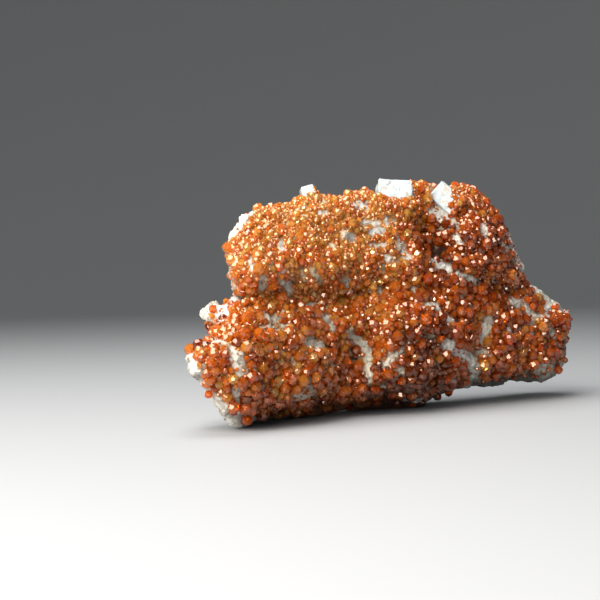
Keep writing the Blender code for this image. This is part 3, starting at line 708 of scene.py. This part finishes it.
def fold_height(u, v):
    """How far the folds push places out of the garnet face."""
    return sum(
        height * np.exp(-((from_line(start, end, u, v) / half_width) ** 2))
        for _, start, end, half_width, height in FOLDS
    )


def in_strips(strips, u, v, soft=0.5):
    """How surely places lie in any of the strips, and the strips' last value, such as whiteness, there."""
    inside, value = np.zeros(len(u)), np.zeros(len(u))
    for _, start, end, half_width, strip_value in strips:
        here = np.clip((half_width - from_line(start, end, u, v)) / soft + 0.5, 0, 1)
        inside = np.maximum(inside, here)
        value = np.maximum(value, here * strip_value)
    return inside, value


def read_mesh(mesh):
    points = np.empty(len(mesh.vertices) * 3, np.float32)
    mesh.vertices.foreach_get("co", points)
    normals = np.empty(len(mesh.vertices) * 3, np.float32)
    mesh.vertex_normals.foreach_get("vector", normals)
    return points.reshape(-1, 3).astype(float) / MM, normals.reshape(-1, 3).astype(float)


def write_points(mesh, points):
    mesh.vertices.foreach_set("co", (points * MM).astype(np.float32).ravel())
    mesh.update()


def relaxed(points, edges, weights, rounds):
    """Points drawn towards the mean of their neighbours, by their weights."""
    count = np.bincount(edges.ravel(), minlength=len(points))[:, None]
    for _ in range(rounds):
        total = np.stack(
            [
                np.bincount(edges[:, 0], points[edges[:, 1], axis], len(points))
                + np.bincount(edges[:, 1], points[edges[:, 0], axis], len(points))
                for axis in range(3)
            ],
            axis=1,
        )
        points = points + (total / count - points) * weights[:, None]
    return points


def add_attribute(mesh, name, values):
    attribute = mesh.attributes.new(name, "FLOAT", "POINT")
    attribute.data.foreach_set("value", values.astype(np.float32))


class CrustReach:
    """How far places are from the solid crust that the garnets replace."""

    def __init__(self):
        places, _ = read_mesh(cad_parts["garnet_crust"].data)
        self.near = KDTree(len(places))
        for index, place in enumerate(places):
            self.near.insert(place, index)
        self.near.balance()

    def at(self, points, v):
        """1 on the crust, 0 past its edge. On the top rim garnets also close in round the rim crystals."""
        distance = np.array([self.near.find(p)[2] for p in points.tolist()])
        reach = 4.0 + 5.0 * np.clip((v - 50.0) / 6.0, 0, 1)
        return np.clip((reach - distance) / 1.5, 0, 1)


def even_skin(node):
    """The CAD solid's mesh with a fine, even skin."""
    stone = bpy.data.objects.new("feldspar_plate", node.data.copy())
    bpy.context.scene.collection.objects.link(stone)
    remesh = stone.modifiers.new("even skin", "REMESH")
    remesh.mode = "VOXEL"
    remesh.voxel_size = STONE_VOXEL * MM
    even = bpy.data.meshes.new_from_object(stone.evaluated_get(bpy.context.evaluated_depsgraph_get()))
    stone.modifiers.clear()
    stone.data = even
    return stone


def make_stone(crust_reach):
    """The feldspar plate: the CAD solid, relaxed where garnets grow on it, and roughened all over."""
    stone = even_skin(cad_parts["feldspar_matrix"])
    mesh = stone.data
    points, _ = read_mesh(mesh)
    edges = np.empty(len(mesh.edges) * 2, np.int32)
    mesh.edges.foreach_get("vertices", edges)
    u, v = seen_at(points)
    crusted = crust_reach.at(points, v)
    crystal = np.clip(1 - crystal_distance(points), 0, 1)
    standing = np.clip(points[:, 2] / 1.5, 0, 1)
    loose = np.maximum(crusted, 0.10) * (1 - crystal) * standing
    points = relaxed(points, edges.reshape(-1, 2), loose * 0.6, RELAX_ROUNDS)
    write_points(mesh, points)
    points, normals = read_mesh(mesh)
    points = points + normals * (fold_height(u, v) * crusted * standing)[:, None]
    write_points(mesh, points)
    points, normals = read_mesh(mesh)
    grown = sampled(points, 6.0, 3) * 1.0 + facets(points, 3.4) * 0.7 + facets(points, 1.5, 3.0) * 0.5
    broken = facets(points, 7.5, 5.0) * 1.0 + facets(points, 2.6, 9.0) * 0.6 + facets(points, 1.3, 2.0) * 0.35
    height = (grown * crusted + broken * (1 - crusted)) * (1 - crystal) * standing
    points = points + normals * (height - 0.7 * crystal)[:, None]
    points[:, 2] = np.maximum(points[:, 2], 0.0)
    write_points(mesh, points)
    bare, white = in_strips(BARE_STRIPS, u, v, 1.2)
    add_attribute(mesh, "whiteness", np.where(crusted > 0.5, white, 0.75))
    open_face = np.where(crusted > 0.5, np.maximum(bare, open_ground(points) > OPEN_GROUND), 1.0)
    # Along the bottom, in the middle, the stone takes the painted gap shade colour.
    add_attribute(mesh, "bareness", np.where((np.abs(u) < 26.0) & (v < 2.5), 0.0, open_face))
    # Painted gap shade, deeper in the redder zones, which lie in shade.
    add_attribute(mesh, "painted_gap_shade", 0.5 + 0.5 * by_zone(u, v)[1])
    # Painted shade in the recesses and undersides that face the camera.
    in_view = read_mesh(mesh)[1] @ TOWARDS_CAMERA > -0.1
    add_attribute(mesh, "painted_shade", in_strips(PAINTED_SHADE_STRIPS, u, v, 1.0)[1] * in_view)
    mesh.shade_smooth()
    mesh.set_sharp_from_angle(angle=SHARP_ANGLE)
    mesh.materials.clear()
    mesh.materials.append(feldspar_material())
    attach(stone, "root")
    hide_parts("feldspar_matrix")
    return stone, crusted


def crystal_turn(turns):
    """The matrix of turns about X, then Y, then Z, in degrees."""
    about_x, about_y, about_z = (
        Matrix.Rotation(math.radians(turn), 4, axis) for turn, axis in zip(turns, "XYZ")
    )
    return about_z @ about_y @ about_x


def crystal_distance(points):
    """How far places are outside the nearest rim crystal."""
    nearest = np.full(len(points), np.inf)
    for _, centre, size, turns in RIM_CRYSTALS:
        local = (points - np.array(centre)) @ np.array(crystal_turn(turns))[:3, :3]
        outside = np.clip(np.abs(local) - np.array(size) / 2, 0, None)
        nearest = np.minimum(nearest, np.linalg.norm(outside, axis=1))
    return nearest


def faces_in_order(made):
    """A bmesh's faces as sorted lists of point numbers: Blender's own order changes from run to run."""
    made.verts.index_update()
    faces = []
    for face in made.faces:
        corners = [vert.index for vert in face.verts]
        first = corners.index(min(corners))
        faces.append(corners[first:] + corners[:first])
    return sorted(faces)


def make_rim_crystals():
    """The blocky feldspar crystals: crisp edges, and faces that are a little stepped and pitted."""
    crystals = []
    material = crystal_material()
    for name, centre, size, turns in RIM_CRYSTALS:
        made = bmesh.new()
        bmesh.ops.create_cube(made, size=1.0, matrix=Matrix.Diagonal((*size, 1.0)))
        bmesh.ops.bevel(made, geom=made.edges, offset=CRYSTAL_BEVEL, segments=1, affect="EDGES")
        bmesh.ops.triangulate(made, faces=made.faces)
        for _ in range(5):
            long_edges = [edge for edge in made.edges if edge.calc_length() > CRYSTAL_CELL * 1.6]
            bmesh.ops.subdivide_edges(made, edges=long_edges, cuts=1)
            bmesh.ops.triangulate(made, faces=made.faces)
        bmesh.ops.transform(made, matrix=Matrix.Translation(centre) @ crystal_turn(turns), verts=made.verts)
        bmesh.ops.scale(made, vec=(MM, MM, MM), verts=made.verts)
        made.verts.sort(key=lambda vert: vert.co.dot(SORTING_SLANT))
        faces = faces_in_order(made)
        mesh = bpy.data.meshes.new(name)
        mesh.from_pydata([vert.co[:] for vert in made.verts], [], faces)
        made.free()
        points, normals = read_mesh(mesh)
        height = 0.10 * sampled(points, 2.2, 3) + 0.22 * facets(points, 2.8, 6.0) - 0.10
        write_points(mesh, points + normals * height[:, None])
        mesh.shade_smooth()
        mesh.set_sharp_from_angle(angle=SHARP_ANGLE)
        mesh.materials.append(material)
        crystal = bpy.data.objects.new(name, mesh)
        bpy.context.scene.collection.objects.link(crystal)
        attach(crystal, "root")
        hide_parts("feldspar_matrix")
        crystals.append(crystal)
    return crystals


def surface_samples(stone, crusted, count, rng):
    """Points spread at random over a stone's skin, its directions there and how surely it is crusted."""
    mesh = stone.data
    mesh.calc_loop_triangles()
    points, normals = read_mesh(mesh)
    triangles = np.empty(len(mesh.loop_triangles) * 3, np.int32)
    mesh.loop_triangles.foreach_get("vertices", triangles)
    triangles = triangles.reshape(-1, 3)
    corners = points[triangles]
    area = np.linalg.norm(np.cross(corners[:, 1] - corners[:, 0], corners[:, 2] - corners[:, 0]), axis=1)
    chosen = rng.choice(len(triangles), count, p=area / area.sum())
    weights = rng.dirichlet((1, 1, 1), count)
    places = (corners[chosen] * weights[..., None]).sum(1)
    outward = (normals[triangles[chosen]] * weights[..., None]).sum(1)
    outward = outward / np.linalg.norm(outward, axis=1)[:, None]
    return places, outward, (crusted[triangles[chosen]] * weights).sum(1)


def by_zone(u, v):
    """The mean garnet diameter and redness at places; the redness is partly painted shade."""
    share, diameter, redness_and_shade = 0.15, 0.15 * 1.7, 0.0
    for _, centre_u, centre_v, reach, zone_diameter, zone_redness_and_shade in SIZE_ZONES:
        weight = np.exp(-((u - centre_u) ** 2 + (v - centre_v) ** 2) / reach**2)
        share = share + weight
        diameter = diameter + weight * zone_diameter
        redness_and_shade = redness_and_shade + weight * zone_redness_and_shade
    return diameter / share, redness_and_shade / share


def spread_out(places, sizes, given):
    """Indices of places kept, the given ones first, then the largest, so that crystals only just touch."""
    order = np.concatenate([np.arange(given), given + np.argsort(-sizes[given:], kind="stable")])
    cell = LARGEST
    cells = np.floor(places / cell).astype(int)
    kept, chosen = {}, []
    for index in order:
        home = cells[index]
        near = [
            other
            for i in (-1, 0, 1)
            for j in (-1, 0, 1)
            for k in (-1, 0, 1)
            for other in kept.get((home[0] + i, home[1] + j, home[2] + k), ())
        ]
        if near:
            gap = ((places[near] - places[index]) ** 2).sum(axis=1)
            if (gap < (CLOSENESS * (sizes[near] + sizes[index])) ** 2).any():
                continue
        kept.setdefault(tuple(home), []).append(index)
        chosen.append(index)
    return np.array(chosen)


def trapezohedron():
    """The 24-faced crystal {211} of garnet, of diameter 1: its points and kite faces."""
    made = bmesh.new()
    for place in np.ndindex(3, 3, 3):
        signs = Vector(place) - Vector((1, 1, 1))
        reach = (0, 1 / 2, 1 / 3, 1 / 4)[int(sum(abs(sign) for sign in signs))]
        if reach:
            made.verts.new(signs * reach)
    bmesh.ops.convex_hull(made, input=made.verts, use_existing_faces=False)
    bmesh.ops.dissolve_limit(made, angle_limit=math.radians(1), verts=made.verts, edges=made.edges)
    made.verts.sort(key=lambda vert: vert.co.dot(SORTING_SLANT))
    points = np.array([vert.co for vert in made.verts])
    faces = np.array(faces_in_order(made))
    made.free()
    return points, faces


def random_turns(count, rng):
    """Rotation matrices spread evenly over all turns."""
    a, b, c, d = rng.normal(size=(4, count))
    size = np.sqrt(a * a + b * b + c * c + d * d)
    a, b, c, d = a / size, b / size, c / size, d / size
    rows = [
        [a * a + b * b - c * c - d * d, 2 * (b * c - a * d), 2 * (b * d + a * c)],
        [2 * (b * c + a * d), a * a - b * b + c * c - d * d, 2 * (c * d - a * b)],
        [2 * (b * d - a * c), 2 * (c * d + a * b), a * a - b * b - c * c + d * d],
    ]
    return np.array(rows).transpose(2, 0, 1)


def crystals_mesh(name, centres, sizes, turns, tints, materials):
    """One mesh of many crystals, each with one of the materials."""
    shape, faces = trapezohedron()
    points = np.einsum("nij,pj->npi", turns, shape) * sizes[:, None, None] + centres[:, None, :]
    index = faces[None] + (np.arange(len(centres)) * len(shape))[:, None, None]
    mesh = bpy.data.meshes.new(name)
    mesh.vertices.add(len(centres) * len(shape))
    mesh.vertices.foreach_set("co", (points * MM).astype(np.float32).ravel())
    loops = index.reshape(-1)
    mesh.loops.add(len(loops))
    mesh.loops.foreach_set("vertex_index", loops.astype(np.int32))
    mesh.polygons.add(len(loops) // 4)
    mesh.polygons.foreach_set("loop_start", np.arange(0, len(loops), 4, dtype=np.int32))
    mesh.polygons.foreach_set("material_index", np.repeat(tints, len(faces)).astype(np.int32))
    mesh.update(calc_edges=True)
    mesh.shade_flat()
    for material in materials:
        mesh.materials.append(material)
    made = bpy.data.objects.new(name, mesh)
    bpy.context.scene.collection.objects.link(made)
    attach(made, "root")
    return made


def seeds_on(crystal, rng):
    """Places on a rim crystal where garnets grow, with the surface's directions there."""
    places, outward, _ = surface_samples(crystal, np.ones(len(crystal.data.vertices)), CRYSTAL_SAMPLES, rng)
    u, v = seen_at(places)
    grown, _ = in_strips(GARNETS_ON_CRYSTALS, u + 0.4 * sampled(places, 2.0, 2, 5.0), v, 0.3)
    return places[grown > 0.5], outward[grown > 0.5], np.ones((grown > 0.5).sum())


def seeds_of_large(places, outward, u, v):
    """For each of the large garnets, the index of the sample that the camera sees nearest to its place."""
    faces_camera = outward @ TOWARDS_CAMERA > 0.1
    depth = places @ -TOWARDS_CAMERA
    chosen = []
    for garnet in LARGE_GARNETS:
        miss = np.hypot(u - garnet[0], v - garnet[1]) + 0.03 * depth
        chosen.append(np.argmin(np.where(faces_camera, miss, np.inf)))
    return np.array(chosen)


def make_garnets(stone, crusted, rim_crystals):
    rng = np.random.default_rng(SEED)
    places, outward, crusted = surface_samples(stone, crusted, SAMPLES, rng)
    u, v = seen_at(places)
    large = seeds_of_large(places, outward, u, v)
    ragged_u, ragged_v = u + 0.5 * sampled(places, 2.5, 2, 3.0), v + 0.5 * sampled(places, 2.5, 2, 7.0)
    wider = [
        (name, start, end, half_width + STRIP_MARGIN, value)
        for name, start, end, half_width, value in BARE_STRIPS + PAINTED_SHADE_STRIPS
    ]
    bare, _ = in_strips(wider, ragged_u, ragged_v)
    sprinkled = (bare >= 0.5) & (rng.uniform(size=len(u)) < SPRINKLED)
    bare[sprinkled] = 0
    keep = (crusted > CRUSTED_ENOUGH) & (bare < 0.5)
    keep &= (open_ground(places) < OPEN_GROUND) & (places[:, 2] > OFF_THE_FLOOR)
    keep &= (crystal_distance(places) > 0.7) & (crystal_distance(places + (0, 0, -2.0)) > 1.0)
    share = np.where(sprinkled, SPRINKLED_SHARE, 1.0)
    grown = [(places[large], outward[large], share[large]), (places[keep], outward[keep], share[keep])]
    grown += [seeds_on(crystal, rng) for crystal in rim_crystals]
    places, outward, share = (np.concatenate(parts) for parts in zip(*grown))
    u, v = seen_at(places)
    sizes = share * by_zone(u, v)[0] * np.exp(SIZE_SPREAD * rng.normal(size=len(u)))
    sizes *= rng.choice(SIZE_CLASSES, len(u), p=SIZE_SHARES)
    sizes = np.clip(sizes, SMALLEST, LARGEST)
    # Redness: the garnets' own spread plus the zones' painted shade.
    redness_and_shade = 0.5 + 0.5 * by_zone(u, v)[1] + REDNESS_SPREAD * rng.normal(size=len(u))
    given = len(LARGE_GARNETS)
    sizes[:given] = [garnet[2] for garnet in LARGE_GARNETS]
    redness_and_shade[:given] = [garnet[3] for garnet in LARGE_GARNETS]
    kept = spread_out(places, sizes, given)
    places, outward, sizes, redness_and_shade, u, v = (part[kept] for part in (places, outward, sizes, redness_and_shade, u, v))
    count = len(places)
    standing_out = rng.uniform(*STANDS_OUT, count)
    centres = places + outward * (sizes * standing_out)[:, None]
    centres[:, 2] = np.maximum(centres[:, 2], OFF_FLOOR_SHARE * sizes)
    turns = random_turns(count, rng)
    tints = (np.clip(redness_and_shade, 0, 0.999) * len(GARNET_TINTS)).astype(int)
    materials = [
        garnet_material(f"spessartine_{name}", body, absorbed, density / MM)
        for name, body, absorbed, density in GARNET_TINTS
    ]
    left, right = u < LEFT_TO_MIDDLE, u >= MIDDLE_TO_RIGHT
    low = v < LOW_TO_HIGH
    for side, beside in (("left", left), ("middle", ~left & ~right), ("right", right)):
        for level, within in (("low", low), ("high", ~low)):
            here = beside & within
            name = f"garnet_crust_{level}_{side}"
            made = crystals_mesh(name, centres[here], sizes[here], turns[here], tints[here], materials)
            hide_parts("garnet_crust")
    return materials


def make_single_garnets(materials):
    """The crystals that sit by themselves on bare feldspar, each where its CAD node is."""
    rng = np.random.default_rng(SEED + 1)
    for name in sorted(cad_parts):
        if name in ("feldspar_matrix", "garnet_crust"):
            continue
        low, high = (np.array(corner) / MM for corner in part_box(name))
        size = (high - low).max() * SINGLE_GARNET_SIZE
        turn = random_turns(1, rng)
        made = crystals_mesh(
            name + "_crystal", ((low + high) / 2)[None], np.array([size]), turn, SINGLE_GARNET_TINT, materials
        )
        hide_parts(name)


def make_floor():
    """A round floor that sweeps up into a wall all round, so that no edge of it shows."""
    profile = [(0.0, 0.0), (FLOOR_RADIUS, 0.0)]
    for step in range(1, 25):
        turn = math.pi / 2 * step / 24
        profile.append((FLOOR_RADIUS + SWEEP * math.sin(turn), SWEEP * (1 - math.cos(turn))))
    profile.append((FLOOR_RADIUS + SWEEP, WALL_TOP))
    made = bmesh.new()
    points = [made.verts.new((radius, 0.0, height)) for radius, height in profile]
    edges = [made.edges.new(pair) for pair in zip(points, points[1:])]
    bmesh.ops.spin(made, geom=points + edges, axis=(0, 0, 1), cent=(0, 0, 0), angle=math.tau, steps=96)
    bmesh.ops.remove_doubles(made, verts=made.verts, dist=0.0001)
    bmesh.ops.recalc_face_normals(made, faces=made.faces)
    mesh = bpy.data.meshes.new("floor")
    mesh.from_pydata([vert.co[:] for vert in made.verts], [], faces_in_order(made))
    made.free()
    mesh.shade_smooth()
    mesh.materials.append(floor_material())
    floor = bpy.data.objects.new("floor", mesh)
    bpy.context.scene.collection.objects.link(floor)


def sight_place(u, height, depth):
    """A point given as the camera's level sight plane has it, in metres in the specimen's frame."""
    cos, sin = math.cos(FACE_YAW), math.sin(FACE_YAW)
    x, y = u * cos + depth * sin - BASE_CENTRE[0], depth * cos - u * sin - BASE_CENTRE[1]
    return Vector((x, y, height)) * MM


def make_camera():
    data = bpy.data.cameras.new("camera")
    data.lens = CAMERA_LENS
    data.sensor_width = CAMERA_SENSOR
    camera = bpy.data.objects.new("camera", data)
    bpy.context.scene.collection.objects.link(camera)
    camera.matrix_world = (
        Matrix.Translation(sight_place(SIGHT_U, SIGHT_HEIGHT, -SIGHT_DISTANCE))
        @ Matrix.Rotation(-FACE_YAW, 4, "Z")
        @ Matrix.Rotation(math.pi / 2 - CAMERA_PITCH, 4, "X")
        @ Matrix.Rotation(-CAMERA_ROLL, 4, "Z")
    )
    bpy.context.scene.camera = camera


def area_light(name, place, size, power, colour):
    data = bpy.data.lights.new(name, "AREA")
    data.size = size * MM
    data.energy = power
    data.color = linear(colour)[:3]
    light = bpy.data.objects.new(name, data)
    bpy.context.scene.collection.objects.link(light)
    light.visible_camera = False
    light.location = sight_place(*place)
    aim = sight_place(0.0, 30.0, 0.0) - light.location
    light.rotation_euler = aim.to_track_quat("-Z", "Y").to_euler()


def make_lights():
    """A soft key from the upper left, a weak fill from the right, and a pale room."""
    area_light("key", (-310.0, 320.0, -410.0), 640.0, 14.4, "#fffaf4")
    area_light("spark", (-120.0, 420.0, -330.0), 60.0, 0.5, "#fff4e4")
    area_light("top", (-80.0, 560.0, 60.0), 400.0, 3.6, "#ffffff")
    area_light("fill", (380.0, 180.0, -330.0), 240.0, 0.25, "#eef4ff")
    world = bpy.data.worlds.new("pale_room")
    world.use_nodes = True
    background = world.node_tree.nodes["Background"]
    background.inputs["Color"].default_value = linear("#c4c8cc")
    background.inputs["Strength"].default_value = 0.36
    bpy.context.scene.world = world


# Blender's noise vectors start from the time of day unless they are given a seed.
noise.seed_set(SEED)
make_camera()
make_floor()
make_lights()
stone, crusted = make_stone(CrustReach())
materials = make_garnets(stone, crusted, make_rim_crystals())
make_single_garnets(materials)
bpy.context.scene.view_settings.view_transform = "Standard"
